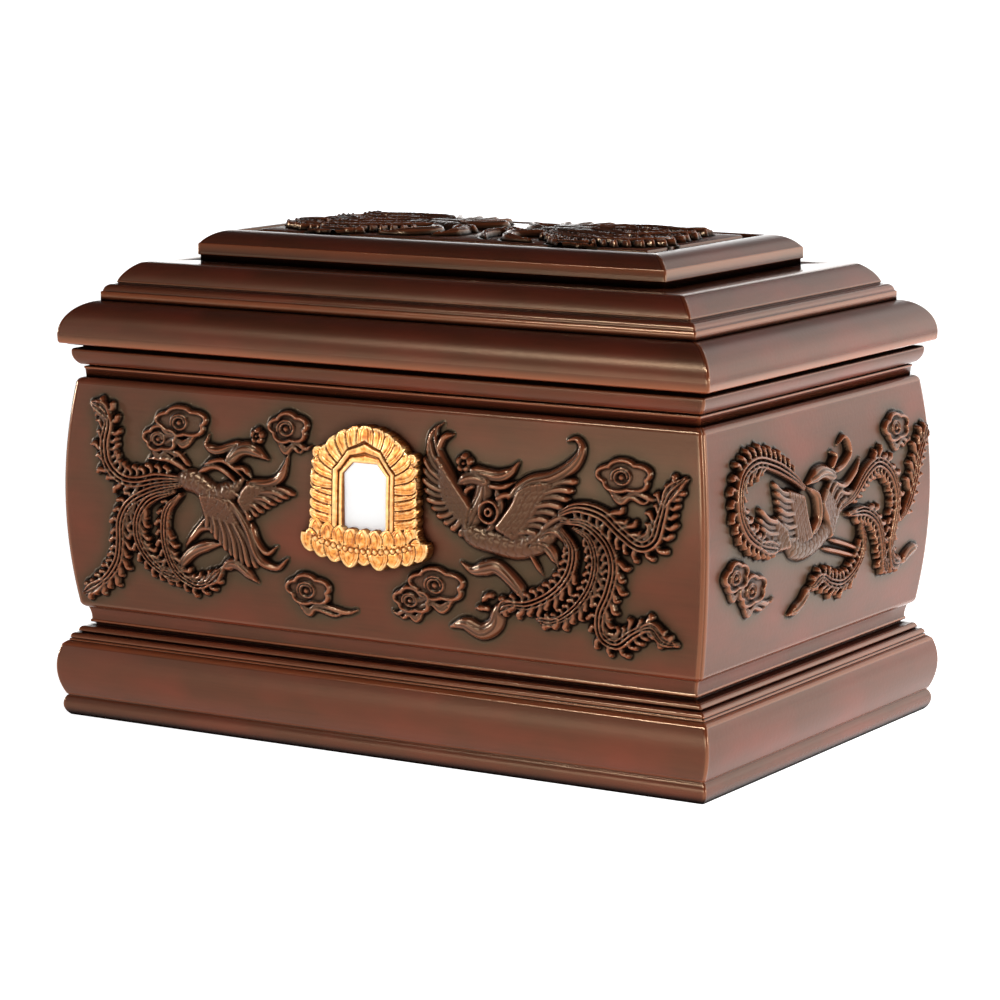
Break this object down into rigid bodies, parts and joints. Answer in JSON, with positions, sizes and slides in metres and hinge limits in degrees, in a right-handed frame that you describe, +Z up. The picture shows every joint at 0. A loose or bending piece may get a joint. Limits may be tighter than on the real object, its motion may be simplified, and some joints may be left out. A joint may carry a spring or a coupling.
{
  "type": "wooden cremation urn",
  "caption": "Casket-shaped wooden urn with bulging carved walls, moulded plinth, stepped lift-off lid and gilt arched portrait frame.",
  "frame": {"origin": "middle of the footprint, on the surface the urn stands on", "axes": "+X to the right along the length, +Y to the back, +Z up; the portrait frame faces -Y"},
  "size_m": [0.3398, 0.2276, 0.2246],
  "materials": {
    "rosewood": "dark red-brown satin lacquer, nearly black in the grooves",
    "plain_wood": "bare board, oiled",
    "gilt": "antiqued gold",
    "card": "matt white"
  },
  "bodies": {
    "root": {"base_moulding": "rosewood", "lower_neck_moulding": "rosewood", "front_panel": "rosewood", "right_panel": "rosewood", "left_panel": "rosewood", "back_panel": "rosewood", "upper_cornice": "rosewood", "lid_rim": "rosewood", "lid_tier": "rosewood", "lid_cap": "rosewood", "floor_board": "plain_wood", "portrait_frame": "gilt", "portrait_card": "card"}
  },
  "joints": []
}
